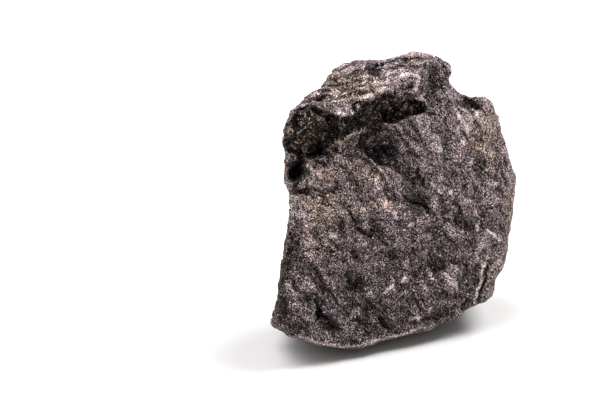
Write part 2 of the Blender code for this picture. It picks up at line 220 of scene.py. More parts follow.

# Patches that are darker: partly darker stone, and partly painted shade in hollows, pits, gaps, the
# cavity and undercuts. Name, across, up, half length, half width, turn in degrees, and change of
# brightness as a power of ten. The stone's patches are all written like this.
DARK_AND_SHADED_PATCHES = [
    ("hollow under the slot", -8.0, 19.0, 11.5, 8.0, -30, 0.36),
    ("top of that hollow", -8.5, 23.6, 7.0, 4.0, 12, 0.52),
    ("valley", 5.5, 9.5, 9.0, 3.6, -50, 0.31),
    ("deep end of the valley", 8.5, -0.6, 6.0, 3.6, -20, 0.5),
    ("cavity at the left edge", -35.0, 9.5, 8.0, 4.2, 88, 1.12),
    ("gap under the left lump", -29.5, 15.0, 6.5, 1.6, 3, 0.6),
    ("notch below the peak", 27.2, 34.4, 5.0, 2.6, -10, 0.12),
    ("peak", 13.5, 42.0, 5.0, 8.0, 0, 0.3),
    ("left of the peak", 9.5, 42.0, 1.8, 4.5, 0, 0.35),
    ("rim of the ledge", -22.5, 43.5, 6.0, 2.0, 35, 0.25),
    ("left side", -39.5, -27.0, 20.0, 3.2, 85, 0.78),
    ("pit left of the middle", -15.2, -6.6, 3.5, 4.5, 0, 0.16),
    ("pit at the middle", -8.0, -12.0, 6.0, 2.8, -10, 0.24),
    ("pit right of the middle", 14.0, -13.0, 4.0, 4.0, 0, 0.16),
    ("pit at the right", 23.2, -8.5, 3.0, 5.5, 0, 0.2),
    ("below that pit", 22.5, -15.5, 5.5, 3.0, 0, 0.16),
    ("right hollow", 12.5, -24.5, 3.5, 4.0, 0, 0.18),
    ("middle, low", -2.5, -18.5, 4.5, 3.0, -30, 0.14),
    ("low left hollow", -15.5, -18.5, 5.0, 4.0, 0, 0.16),
    ("low middle hollow", -14.6, -29.0, 4.5, 5.0, 0, 0.26),
    ("lower left", -23.0, -41.0, 8.0, 3.6, -55, 0.2),
    ("low left corner", -34.0, -44.5, 4.0, 3.0, 0, 0.25),
    ("low middle", -5.0, -41.0, 10.0, 6.0, -20, 0.26),
    ("low edge", -17.5, -48.5, 5.0, 2.0, 0, 0.2),
    ("undercut at the lower right", 15.0, -43.2, 12.0, 3.0, 12, 0.3),
    ("beside the white vein", 28.8, -23.0, 3.0, 3.0, 0, 0.18),
    ("flank, left", 30.5, 14.0, 3.5, 4.5, 0, 0.2),
    ("flank, right", 36.7, 14.5, 3.0, 4.0, 0, 0.2),
    ("below the slab", -16.0, 19.0, 6.5, 5.0, 10, 0.3),
    ("ledge, left", -26.0, 36.5, 9.0, 6.0, 25, 0.33),
    ("right of the valley", 19.0, 5.0, 6.0, 6.0, 0, 0.1),
    ("left of the notch", 16.5, 33.0, 3.0, 5.0, 10, 0.1),
    ("pit on the ledge", -7.8, 46.4, 3.6, 2.6, 10, 0.95),
]

# Where else the stone crumbled into knobs, with how strongly.
CRUMBLED_PATCHES = [
    ("cavity", -35.0, 9.0, 6.5, 4.0, 85, 0.8),
    ("hollow under the slot", -8.0, 19.5, 11.0, 8.0, -20, 0.8),
    ("notch below the peak", 27.5, 35.0, 6.0, 4.0, -10, 0.8),
    ("peak", 14.5, 42.0, 5.0, 8.0, 0, 0.5),
    ("left side", -39.5, -27.0, 22.0, 2.8, 85, 0.4),
]

# Patches that are paler: paler stone, and on the ledge's right top and the flank's top partly
# painted light.
PALE_AND_LIT_PATCHES = [
    ("ledge, right", -2.0, 41.5, 12.0, 3.6, 8, 0.31),
    ("below the hollow", -5.0, 11.0, 8.0, 2.6, -3, 0.15),
    ("bench at the left", -27.0, -2.0, 12.0, 5.5, 0, 0.22),
    ("bench at the middle", -7.0, -1.4, 11.0, 3.5, 0, 0.37),
    ("left of the middle", -27.5, -14.0, 8.0, 8.0, 0, 0.26),
    ("low left", -29.0, -30.0, 5.0, 4.0, 0, 0.1),
    ("top of the flank", 32.0, 26.0, 7.0, 7.0, -30, 0.16),
    ("knob right of the notch", 33.4, 34.0, 3.0, 3.0, 0, 0.16),
    ("outer rim of the flank", 43.8, 5.0, 8.0, 2.2, 85, 0.18),
    ("lower flank", 32.5, -18.0, 9.0, 4.0, 80, 0.58),
    ("lower right lump", 35.5, -31.0, 6.0, 3.0, 80, 0.16),
    ("rim above that lump", 39.0, -22.0, 6.0, 2.0, 65, 0.16),
    ("low specks, right", 20.5, -29.0, 4.0, 3.5, -40, 0.2),
    ("low middle", -7.0, -22.0, 5.0, 3.0, 20, 0.1),
    ("near the bottom", 8.5, -39.8, 4.0, 2.5, 0, 0.12),
    ("under the lump", -25.0, 8.0, 9.0, 5.0, 10, 0.2),
    ("upper right", 13.0, 21.0, 9.0, 9.0, 0, 0.12),
    ("lower right", 16.0, -31.0, 8.0, 6.0, 0, 0.1),
]

# Patches with more yellowish grains, with how many grains are warm, and small rusty spots.
OCHRE_PATCHES = [
    ("ledge", -18.0, 38.0, 18.0, 8.0, 15, 0.55),
    ("top of the peak", 4.0, 47.5, 8.0, 2.5, 15, 0.5),
    ("lip of the middle block", -18.5, 20.6, 9.5, 3.0, 32, 1.0),
    ("middle block and slot", -6.0, 29.0, 16.0, 5.0, 15, 0.35),
    ("under the lump", -26.0, 9.0, 11.0, 6.0, 0, 0.42),
    ("below the hollow", -8.0, 10.0, 13.0, 5.5, -3, 0.5),
    ("bench at the left", -24.0, -2.0, 15.0, 9.0, 0, 0.55),
    ("bench at the middle", -6.0, -1.5, 12.0, 5.0, 0, 0.45),
    ("left of the middle", -26.0, -16.0, 10.0, 8.0, 0, 0.36),
    ("bench's yellow corner", -27.0, -5.8, 6.5, 3.0, 0, 0.9),
    ("flank", 34.0, 20.0, 9.0, 16.0, 0, 0.45),
    ("rim of the flank", 43.0, -2.0, 18.0, 4.0, 85, 0.5),
    ("lower right lump", 36.0, -28.0, 12.0, 5.0, 76, 0.4),
    ("left lump", -30.0, 22.5, 12.0, 9.5, 10, 0.5),
    ("left side", -39.5, -27.0, 20.0, 3.0, 85, 0.65),
    ("middle", 0.0, -17.0, 20.0, 8.0, -20, 0.15),
]
RUST_SPOTS = [
    ("under the lip", -21.7, 18.6, 1.3, 0.9, 60, 0.8),
    ("lip of the cavity", -38.4, 9.8, 1.0, 1.8, 0, 0.8),
    ("flank", 29.2, 21.0, 1.8, 1.3, -30, 0.7),
    ("under the lump", -37.0, 17.0, 1.2, 0.8, 0, 0.5),
]

MARK_SPREAD = 0.2              # added to the half width of each mark below, mm

# Pale veins and specks, and bright edges that are painted highlights: name, points (across, up),
# half width, and strength.
PALE_MARKS_AND_HIGHLIGHTS = [
    ("white vein", [(34.1, -19.4), (33.7, -23.0), (32.2, -25.9), (32.0, -30.3), (31.0, -32.5),
                    (30.0, -37.2)], 0.5, 0.7),
    ("bright streak", [(34.3, -10.8), (38.6, -14.4)], 0.55, 0.8),
    ("flank, upright streak", [(27.0, 29.6), (27.5, 25.1)], 0.65, 0.6),
    ("flank, short streak", [(28.1, 29.0), (29.3, 31.1)], 0.5, 0.6),
    ("flank, edge", [(21.4, 31.9), (23.3, 28.8), (26.0, 24.7)], 0.9, 0.62),
    ("flank, low edge", [(27.4, 16.4), (27.9, 12.5)], 0.6, 0.6),
    ("flank, speck", [(32.2, 17.1), (33.0, 15.0)], 0.6, 0.7),
    ("flank, small streak", [(29.6, 18.5), (32.2, 17.8)], 0.45, 0.6),
    ("flank, knob", [(23.9, 21.2), (24.6, 19.8)], 0.7, 0.6),
    ("speck by the flank", [(21.2, 24.2), (22.3, 23.2)], 0.6, 0.6),
    ("speck right of the valley", [(20.3, 2.9), (21.0, 0.7)], 0.6, 0.6),
    ("streak right of the valley", [(13.6, 5.6), (16.5, 2.8)], 0.4, 0.5),
    ("right, speck", [(28.9, -3.9), (30.1, -5.7)], 0.6, 0.5),
    ("right, low speck", [(30.1, -9.3), (30.9, -10.7)], 0.5, 0.5),
    ("streak in the slot", [(-2.4, 29.0), (1.3, 34.2)], 0.4, 0.35),
    ("speck right of the slot", [(9.4, 35.4), (10.2, 34.8)], 0.6, 0.9),
    ("edge of the slab", [(-20.4, 29.4), (-18.4, 28.4), (-15.7, 29.1), (-12.9, 31.2)], 0.8, 0.4),
    ("edge over the slot", [(-12.8, 34.5), (-7.7, 35.9), (-4.0, 37.8)], 0.6, 0.32),
    ("lip of the notch", [(6.5, 38.6), (7.4, 40.6), (7.1, 42.7)], 0.8, 0.85),
    ("ledge, right streak", [(-7.6, 42.0), (-0.6, 41.8), (2.9, 43.3), (7.4, 44.1)], 0.8, 0.14),
    ("ledge, specks", [(-22.7, 37.2), (-20.3, 36.5)], 0.6, 0.45),
    ("ledge, left streak", [(-30.0, 35.2), (-26.4, 35.8), (-17.9, 35.2)], 0.5, 0.14),
    ("beside the pit", [(-6.3, 45.8), (-6.0, 47.0)], 0.6, 0.6),
    ("lip of the slab", [(-25.5, 16.0), (-22.4, 18.8), (-18.4, 20.8), (-14.6, 23.0), (-11.2, 24.4)],
     1.2, 0.42),
    ("below the lump", [(-31.8, 11.9), (-29.1, 9.5), (-26.4, 8.2)], 0.7, 0.45),
    ("knob below the hollow", [(-6.9, 7.3), (-5.8, 4.2)], 1.1, 0.35),
    ("streak below the hollow", [(-8.6, 13.8), (-5.5, 11.1)], 1.2, 0.15),
    ("bench, speck", [(-19.1, 2.7), (-18.0, 2.1)], 0.6, 0.6),
    ("middle, speck", [(-0.1, -4.5), (1.1, -6.3)], 0.6, 0.55),
    ("middle, right specks", [(5.0, -9.1), (6.5, -8.1)], 0.6, 0.6),
    ("middle, right speck", [(8.3, -7.4), (9.7, -8.1)], 0.5, 0.5),
    ("left, speck", [(-22.9, -11.7), (-20.8, -12.8)], 0.8, 0.55),
    ("left rim, specks", [(-37.6, -28.8), (-36.3, -30.9), (-34.6, -33.3)], 0.8, 0.5),
    ("low middle, streak", [(-3.7, -33.1), (-0.9, -30.6)], 0.6, 0.75),
    ("low middle, speck", [(2.8, -28.6), (4.2, -27.6)], 0.6, 0.75),
    ("low right, specks", [(18.4, -26.3), (20.2, -27.8)], 0.6, 0.7),
    ("low right, streak", [(19.1, -28.8), (22.5, -30.4)], 0.6, 0.7),
    ("low right, upright", [(22.1, -28.2), (23.4, -33.0)], 0.8, 0.45),
    ("low right, faint line", [(12.9, -24.9), (13.7, -28.1)], 0.45, 0.5),
    ("near the bottom", [(6.9, -41.9), (9.9, -42.1)], 0.6, 0.6),
    ("bottom edge", [(-34.0, -46.9), (-26.3, -50.0), (-17.5, -51.5), (-12.0, -51.2), (-4.0, -48.8),
                     (6.0, -47.0), (15.0, -44.8)], 0.3, 0.5),
]

# Where the broad face's streaks lie level instead of slanting.
LEVEL_PATCHES = [
    ("left of the middle", -26.0, -9.0, 12.0, 13.0, 0, 1.0),
    ("below the hollow", -8.0, 5.0, 10.0, 6.0, 0, 0.7),
]

# The sides that the photo doesn't show have random patches: strength, and range of a noise with
# broad and middling waves, of these sizes, mm.
BEHIND_DARK = (0.45, (0.0, 0.6))
BEHIND_PALE = (0.3, (0.1, 0.6))
BEHIND_OCHRE = (0.5, (-0.1, 0.5))
BROAD_SIZE = 17.0
MIDDLING_SIZE = 8.0
DARK_MIDDLING = 0.5           # how much the middling waves count in the dark and the pale patches
PALE_MIDDLING = 0.4

# The stone's brightness is a power of ten: what it starts from, and how much each thing adds.
STONE_DEPTH = -3.575
GRAIN_CONTRAST = 1.34         # long grains
SPECK_AND_GLINT_CONTRAST = 0.25         # bright specks: pale grains, and painted glints
SPECK_RARITY = 5.0
PIT_CONTRAST = 1.35           # dark specks
PIT_RARITY = 4.0
FINE_CONTRAST = 1.10          # fine noise
STREAK_CONTRAST = 0.70        # broad streaks
RELIEF_PAINTED_LIGHT = 0.27        # painted light on points that stand out, painted shade in hollows
BEHIND_PAINTED_SHADE = 0.17        # painted shade on the sides that the photo doesn't show, which the lamps light more
LEDGE_PALENESS_AND_LIGHT = 0.38             # the ledge's top: paler stone, and painted light where it looks up
LEDGE_CALM = 0.50             # how much weaker its grains and streaks are than the face's
FRONT_DARK_AND_SHADE = 0.60         # the ledge's dark front: dark stone, and painted shade under the ledge
CREASE_PAINTED_SHADE = 0.42        # painted shade in creases beside steps, grooves and knobs
CRUMB_CONTRAST = 1.35         # crumbs, where the stone crumbled
VEIN_AND_HIGHLIGHT_LIFT = 1.70              # veins and other pale marks, and painted highlights on edges
TOP_PAINTED_LIGHT = 0.25              # painted light on the upper part of the stone, in full above the second height, mm
TOP_LIGHT_RANGE = (-40.0, 18.0)
BRIGHTEST = 0.75              # no point is brighter than this

# A patch has part of its strength everywhere, and more in pale streaks; a pale mark has more in
# pale grains.
PATCH_LEAST, PATCH_IN_STREAKS = 0.3, 1.4
MARK_LEAST, MARK_IN_GRAINS = 0.55, 0.9
MIDDLE_STREAK = 0.5           # the value of a streak that is neither dark nor pale

# The stone's hues, which its brightness is multiplied by, and the colour of rust.
DARK_HUE = (1.42, 0.97, 1.08, 1.0)      # of the darkest grains
PALE_HUE = (1.18, 1.00, 0.99, 1.0)      # of the palest ones
COOL_HUE = (1.17, 0.98, 1.20, 1.0)
WARM_HUE = (1.33, 1.00, 0.68, 1.0)
# The pale marks' hue is also the hue of the painted highlights on edges.
VEIN_AND_HIGHLIGHT_HUE = (1.15, 1.0, 0.92, 1.0)
RUST_COLOUR = (0.24, 0.095, 0.035, 1.0)
RUST_RANGE = (0.30, 0.90)     # of the share that is kept on the mesh
EDGE_BREAK = 0.7              # how much the fine noise breaks up the edge of a rusty spot
GRAIN_WARMTH = 0.8            # how much a random value warms each grain, and each crumb
CRUMB_WARMTH = 0.35
WARM_FROM = 0.40              # what is taken off, so that only some grains are warm
GRAIN_COOLNESS = 1.8          # the same for the cool grains
COOL_FROM = 1.0

# Glints: the dullest and the shiniest roughness, how rare shiny specks are, and their strength.
DULLEST, SHINIEST = 0.95, 0.45
GLINT_RARITY = 8.0
GLINT_STRENGTH = 0.5

# Bumps too small for the mesh: how much the long grains add to the fine noise, how strong they
# are, and their height, mm.
BUMP_GRAIN = 0.25
BUMP_STRENGTH = 0.6
BUMP_HEIGHT = 0.30

# Grains: size, mm, how much longer than wide they are, and the direction (across, up) that they lie
# in. The ledge's are wider than the face's by the first factor and longer by the second.
GRAIN_SIZE = 0.22
GRAIN_STRETCH = 2.2
FACE_GRAIN = [(0.68, -0.73), (0.42, -0.91)]
LEDGE_GRAIN = (0.92, 0.39)
LEDGE_THIN = (1.0, 2.2)
LEDGE_THICK = (1.5, 3.0)
SPECK_SIZE = 0.28
SPECK_GRAIN = (1.0, 0.0)
SPECK_STRETCH = 1.0
CRUMB_SIZE = 0.58
CRUMB_GRAIN = (0.3, 1.0)
CRUMB_STRETCH = 1.3
LUMP_SIZE = 2.3               # times the size of the crumbs
LUMP_SHARE = 0.6              # how much the lumps count beside the crumbs
CRUMB_MIDDLE = 0.90           # the sum of both that neither darkens nor brightens

# Fine noise, and broad streaks: noise settings, how much longer than wide the streaks are, and the
# directions (across, up) of those that don't lie along the face's first grain.
FINE_NOISE = {"Scale": 2.0, "Detail": 3.0, "Roughness": 0.75}
STREAK_NOISE = {"Scale": 0.42, "Detail": 5.0, "Roughness": 0.6}
STREAK_STRETCH = 2.4
LEDGE_STREAKS = (0.80, 0.60)
LEVEL_STREAKS = (0.98, -0.17)

# The camera: its place in the drafting frame, its lens and the width of its picture, mm, and the
# nearest thing that it sees, m.
CAMERA_PLACE = (-31.15, -1.4, 595.0)
LENS = 100.0
PICTURE_WIDTH = 36.0
NEAREST = 0.01

# Soft lights: name, the direction that each comes from in the rock's own frame, strength, and
# width in degrees. A fill comes evenly from all around.
KEY_LIGHTS = [
    ("right light", (0.53, 0.0, 0.85), 4.15, 34.0),
    ("left light", (-0.34, 0.06, 0.94), 2.2, 44.0),
    ("back light", (-0.50, 0.45, 0.74), 1.6, 60.0),
]
FILL_STRENGTH = 0.49
FILL_COLOUR = (1.0, 0.965, 0.97, 1.0)

# The table that the rock stands on: how far it reaches from the rock, m, and its looks.
TABLE_REACH = 4.0
TABLE_COLOUR = (0.60, 0.595, 0.59, 1.0)
TABLE_ROUGHNESS = 0.7


# ---------------------------------------------------------------- places
def draft_rotation():
    """Turns drafting directions into the rock's own."""
    turn_sin, turn_cos = math.sin(DRAFT_TURN), math.cos(DRAFT_TURN)
    tilt_sin, tilt_cos = math.sin(DRAFT_TILT), math.cos(DRAFT_TILT)
    across = Vector((turn_cos, -turn_sin, 0.0))
    up = Vector((turn_sin * tilt_sin, turn_cos * tilt_sin, tilt_cos))
    out = Vector((-turn_sin * tilt_cos, -turn_cos * tilt_cos, tilt_sin))
    return Matrix((across, up, out)).transposed()


DRAFT_AXES = draft_rotation()
TO_ROCK = np.array(DRAFT_AXES)


def to_draft(places):
    """Places in metres in the rock's own frame, as drafting millimetres."""
    return (places / MM - np.array(DRAFT_ORIGIN)) @ TO_ROCK


def from_draft(places):
    """Drafting millimetres, as places in metres in the rock's own frame."""
    return (places @ TO_ROCK.T + np.array(DRAFT_ORIGIN)) * MM


def smoothstep(start, full, value):
    """Rises softly from 0 at the start to 1 at the full value."""
    t = np.clip((value - start) / (full - start), 0.0, 1.0)
    return t * t * (3.0 - 2.0 * t)


# ---------------------------------------------------------------- noise over many places
def soft_noise(places, size):
    """Smooth noise, about -1 to 1, whose forms are about this size."""
    return np.array([noise.noise(Vector(place)) for place in places / size])


def drift(places, size, reach):
    """The places moved about by up to a reach, in waves of a size."""
    moved = [noise.noise_vector(Vector(place)) for place in places / size]
    return places + reach * np.array(moved)


def wander(places, waves):
    """The places moved about by each kind of wave in turn, so that drawn outlines wander."""
    for size, reach in waves:
        places = drift(places, size, reach)
    return places


def broken_chips(places, size, height):
    """Flat chips: each cell is one facet with a tilt and a level of its own."""
    heights = []
    for place in places / size:
        seed = noise.voronoi(Vector(place))[1][0]
        tilt = noise.noise_vector(seed * TILT_SEED)
        level = noise.noise(seed * LEVEL_SEED)
        heights.append(CHIP_TILT * (Vector(place) - seed).dot(tilt) + CHIP_LEVEL * level)
    return height * np.array(heights)


def knobs(places, size):
    """Rounded knobs with creases between them: highest in the middle of each."""
    return np.array([0.5 - noise.voronoi(Vector(place))[0][0] for place in places / size])


# ---------------------------------------------------------------- drawn forms over many places
def patch(places, form):
    """Strength of one soft-edged ellipse at each place."""
    _, across, up, half_length, half_width, turn, strength = form
    angle = math.radians(turn)
    from_across, from_up = places[:, 0] - across, places[:, 1] - up
    along = (from_across * math.cos(angle) + from_up * math.sin(angle)) / half_length
    beside = (from_up * math.cos(angle) - from_across * math.sin(angle)) / half_width
    return strength * (1.0 - smoothstep(*PATCH_EDGE, np.hypot(along, beside)))


def patches(places, forms):
    """The strongest of the patches at each place."""
    return np.max([patch(places, form) for form in forms], axis=0)


def distance_to_line(places, points):
    """Distance from each place, seen from the camera's side, to a line through some points."""
    flat = places[:, :2]
    nearest = np.full(len(places), np.inf)
    for start, end in zip(points, points[1:]):
        start, end = np.array(start), np.array(end)
        step = end - start
        share = np.clip((flat - start) @ step / (step @ step), 0.0, 1.0)
        nearest = np.minimum(nearest, np.linalg.norm(flat - start - share[:, None] * step, axis=1))
    return nearest


def line_strength(places, points, half_width):
    """1 on a line through some points, and softly less beside it."""
    return 1.0 - smoothstep(*LINE_EDGE, distance_to_line(places, points) / half_width)


# ---------------------------------------------------------------- meshes
def fine_copy(node):
    """A copy of the solid's mesh, whose facets share their corners."""
    mesh = node.data.copy()
    mesh.name = "stone"
    bm = bmesh.new()
    bm.from_mesh(mesh)
    bmesh.ops.remove_doubles(bm, verts=bm.verts, dist=WELD_DISTANCE)
    bm.to_mesh(mesh)
    bm.free()
    if "custom_normal" in mesh.attributes:
        mesh.attributes.remove(mesh.attributes["custom_normal"])
    return mesh


def new_object(name, data):
    """A new object in the scene for a mesh, a light or a camera."""
    item = bpy.data.objects.new(name, data)
    bpy.context.scene.collection.objects.link(item)
    return item


def baked(mesh, set_up_modifiers):
    """The mesh after some modifiers, which set_up_modifiers adds to a passing object."""
    item = new_object("passing", mesh)
    set_up_modifiers(item)
    graph = bpy.context.evaluated_depsgraph_get()
    result = bpy.data.meshes.new_from_object(item.evaluated_get(graph))
    bpy.data.objects.remove(item)
    return result


def refine(item):
    """Makes the mesh fine, and softens the solid's facets."""
    remesh = item.modifiers.new("refine", "REMESH")
    remesh.mode = "VOXEL"
    remesh.voxel_size = FINE_VOXEL * MM
    soften = item.modifiers.new("soften", "SMOOTH")
    soften.iterations = FACET_SOFTENING


def thin_out(item):
    """Takes away triangles where the surface is flattest."""
    decimate = item.modifiers.new("thin out", "DECIMATE")
    decimate.ratio = TRIANGLES / (2 * len(item.data.polygons))
    decimate.use_collapse_triangulate = True


def read_points(mesh, kind):
    """The places ("co") or outward directions ("normal") of the mesh's points."""
    values = np.empty(len(mesh.vertices) * 3, dtype=np.float32)
    mesh.vertices.foreach_get(kind, values)
    return values.reshape(-1, 3).astype(float)


def drafted(mesh):
    """The places and outward directions of the mesh's points, in the drafting frame."""
    return to_draft(read_points(mesh, "co")), read_points(mesh, "normal") @ TO_ROCK


def write_share(mesh, name, values):
    """Keeps a value for each point, which the material reads by name."""
    attribute = mesh.attributes.new(name, "FLOAT", "POINT")
    attribute.data.foreach_set("value", values.astype(np.float32))


# ---------------------------------------------------------------- kinds of surface
def front_share(places, normals):
    """Where the ledge's dark broken front is."""
    across, up = places[:, 0], places[:, 1]
    top = np.interp(across, *zip(*FRONT_TOP))
    foot = np.interp(across, *zip(*FRONT_FOOT))
    soft = (-FRONT_SOFTNESS, FRONT_SOFTNESS)
    between = smoothstep(*soft, up - foot) * smoothstep(*soft, top - up)
    ends = smoothstep(*FRONT_LEFT_END, across) * smoothstep(*FRONT_RIGHT_END, across)
    return between * ends * smoothstep(*FRONT_FACING, normals[:, 2])


def front_dark_and_shade(places):
    """How dark that front is at each place across: dark stone and painted shade."""
    return FRONT_DARK_AND_SHADE * np.interp(places[:, 0], *zip(*FRONT_STRENGTH))


def ledge_share(places, normals):
    """Where the ledge's layered top is: it looks up, at the upper left."""
    looks_up = smoothstep(*LEDGE_LOOKS_UP, normals[:, 1])
    from_middle = np.abs(places[:, 0] - LEDGE_MIDDLE)
    high = smoothstep(*LEDGE_HEIGHT, places[:, 1] + LEDGE_DROOP * from_middle)
    left = 1.0 - smoothstep(*LEDGE_RIGHT_END, places[:, 0])
    return looks_up * high * left


def wear(places, normals):
    """How much of the chips is left: less where the surface turns away, and along worn edges."""
    left = 1.0 - RIM_WEAR * np.exp(-(normals[:, 2] / RIM_WIDTH) ** 2)
    for edge in WORN_EDGES:
        left *= 1.0 - EDGE_WEAR * line_strength(places, edge, WORN_REACH)
    return left


def surface_kinds(places, normals):
    """How much of each kind of surface every place is, by name."""
    wandered = wander(places, GROOVE_WANDER)
    facing = smoothstep(*SHAPE_FACING, normals[:, 2])
    front = front_share(wandered, normals)
    ledge = ledge_share(places, normals) * (1.0 - front)
    crumbled = np.maximum(patches(wandered, CRUMBLED_PATCHES) * facing, front)
    worn = wear(places, normals)
    return {
        "front": front,
        "ledge": ledge,
        "crumbled": crumbled,
        "worn": worn,
        "smooth": (1.0 - ledge) * (1.0 - crumbled) * worn,
        "grooves": [
            (depth, line_strength(wandered, points, half_width) * facing)
            for _, points, half_width, depth in GROOVES
        ],
    }


# ---------------------------------------------------------------- relief
def layer_place(places):
    """Counts the ledge's thin layers: one more for each layer upward."""
    waves = LAYER_WANDER * soft_noise(places, LAYER_WAVES)
    rising = places[:, 1] - LAYER_RISE * places[:, 0] + waves
    return rising / LAYER_PITCH


def layers(places):
    """A short steep step up at the front of each layer, then a slow fall; and where its foot is."""
    within = layer_place(places) % 1.0
    foot = 1.0 - smoothstep(*LAYER_FOOT, within)
    return smoothstep(*LAYER_STEP, within) * (1.0 - within), foot


def along_slant(places, stretch):
    """The places measured along and beside the slant of the broad face, for longer forms."""
    along = places[:, 0] * math.cos(SLANT) + places[:, 1] * math.sin(SLANT)
    beside = places[:, 1] * math.cos(SLANT) - places[:, 0] * math.sin(SLANT)
    return np.stack([along, beside, places[:, 2]], axis=1) / (stretch, 1.0, 1.0)


def slanting_steps(places):
    """A short step up at each line, then a slow fall, strong here and faint there; and its foot."""
    slanted = along_slant(places, SLANT_STRETCH)
    waves = STEP_WANDER * soft_noise(slanted + SHIFT["step waves"], STEP_WAVES)
    within = ((slanted[:, 1] + waves) / STEP_PITCH) % 1.0
    broad = soft_noise(places + SHIFT["strong steps"], STRONG_STEPS_SIZE)
    strong = smoothstep(*STRONG_STEPS, broad)
    foot = 1.0 - smoothstep(*STEP_FOOT, within)
    return strong * smoothstep(*STEP_FRONT, within) * (1.0 - within), strong * foot


def thin_cracks(places):
    """Long narrow lines, where a stretched noise passes through zero."""
    winding = np.abs(soft_noise(along_slant(places, SLANT_STRETCH), CRACK_SPACING))
    line = 1.0 - smoothstep(0.0, CRACK_SHARPNESS, winding)
    broad = soft_noise(places + SHIFT["strong cracks"], STRONG_CRACKS_SIZE)
    return line * smoothstep(*STRONG_CRACKS, broad)


def chips(places, size, height, kinds):
    """Chips that are longer along the slant on the broad face, and lower on the ledge."""
    on_face = broken_chips(along_slant(places, CHIP_STRETCH), size, height) * kinds["smooth"]
    on_ledge = broken_chips(places, size, height) * LEDGE_CHIPS * kinds["ledge"] * kinds["worn"]
    return on_face, on_ledge


def relief(places, kinds):
    """Height of all the small forms at each place, mm, and the strength of the painted shade in
    creases.
    """
    ledge, smooth, crumbled = kinds["ledge"], kinds["smooth"], kinds["crumbled"]
    layer, layer_foot = layers(places)
    step, step_foot = slanting_steps(places)
    cracks = thin_cracks(places) * smooth
    # The feet of layers and steps, the cracks, the grooves and the creases beside knobs get painted
    # shade.
    crease_shade = [LAYER_FEET_SHADE * layer_foot * ledge, STEP_FEET_SHADE * step_foot * smooth, cracks]
    height = LAYER_HEIGHT * layer * ledge + STEP_HEIGHT * step * smooth - CRACK_DEPTH * cracks
    for depth, groove in kinds["grooves"]:
        height -= depth * groove
        crease_shade.append(groove)
    for size, chip in SMALL_CHIPS:
        for part in chips(places, size, chip, kinds):
            height += part
    for size, knob in KNOBS:
        out = knobs(places, size)
        height += knob * out * crumbled
        crease_shade.append(smoothstep(*KNOB_CREASE, out) * crumbled)
    for size, grain in GRAIN:
        height += grain * soft_noise(places, size)
    return height, np.max(crease_shade, axis=0)


def displaced(places, normals, height, kinds):
    """The places moved out by a height, set back at the ledge's front, and wandering sideways."""
    moved = places + normals * height[:, None]
    moved[:, 2] -= FRONT_SET_BACK * kinds["front"] * smoothstep(*FRONT_JUTS_OUT, places[:, 2])
    wobble = (kinds["worn"] * (1.0 + CRUMBLED_WOBBLE * kinds["crumbled"]))[:, None]
    for size, reach in WOBBLE:
        aside = drift(moved, size, reach) - moved
        moved = moved + aside * wobble
    return moved


def roughen(mesh):
    """Gives the surface its layers, grooves, chips and grain, inside the solid's outer box, and
    keeps where painted shade darkens its creases.
    """
    places, normals = drafted(mesh)
    kinds = surface_kinds(places, normals)
    height, crease_shade = relief(places, kinds)
    moved = from_draft(displaced(places, normals, height, kinds))
    low, high = CAD_BOX
    moved = np.clip(moved, np.array(low), np.array(high))
    mesh.vertices.foreach_set("co", moved.astype(np.float32).ravel())
    # Where painted shade darkens the creases.
    write_share(mesh, "painted_crease_shade", crease_shade)
    mesh.update()


# ---------------------------------------------------------------- shares for the material
def smoothed(places, edges, passes):
    """The places after each has moved many times toward the average of its neighbours."""
    count = len(places)
    neighbours = np.bincount(edges.ravel(), minlength=count)[:, None]
    for _ in range(passes):
        total = np.zeros_like(places)
        for axis in range(3):
            total[:, axis] += np.bincount(edges[:, 0], places[edges[:, 1], axis], count)
            total[:, axis] += np.bincount(edges[:, 1], places[edges[:, 0], axis], count)
        places = 0.5 * places + 0.5 * total / neighbours
    return places


def painted_relief_light_share(mesh, places, normals):
    """How far each point stands out from its surroundings, below 0 in a hollow: painted light on
    what stands out and painted shade in hollows.
    """
    edges = np.empty(len(mesh.edges) * 2, dtype=np.int32)
    mesh.edges.foreach_get("vertices", edges)
    edges = edges.reshape(-1, 2)
    share = 0.0
    for passes, reach in RELIEF_LIGHT_SCALES:
        out = np.sum((places - smoothed(places, edges, passes)) * normals, axis=1)
        share = share + np.clip(out / reach, -1.0, 1.0)
    return share / len(RELIEF_LIGHT_SCALES)


def hidden_patches(kind, behind, waves):
    """Random patches on the sides that the photo doesn't show."""
    strength, where = kind
    return strength * behind * smoothstep(*where, waves)


def pale_marks_and_highlights(places):
    """The strongest of the veins and specks, and of the bright edges painted as highlights, at each
    place.
    """
    wandered = wander(places, MARK_WANDER)
    marks = [
        strength * line_strength(wandered, points, half_width + MARK_SPREAD)
        for _, points, half_width, strength in PALE_MARKS_AND_HIGHLIGHTS
    ]
    return np.max(marks, axis=0)


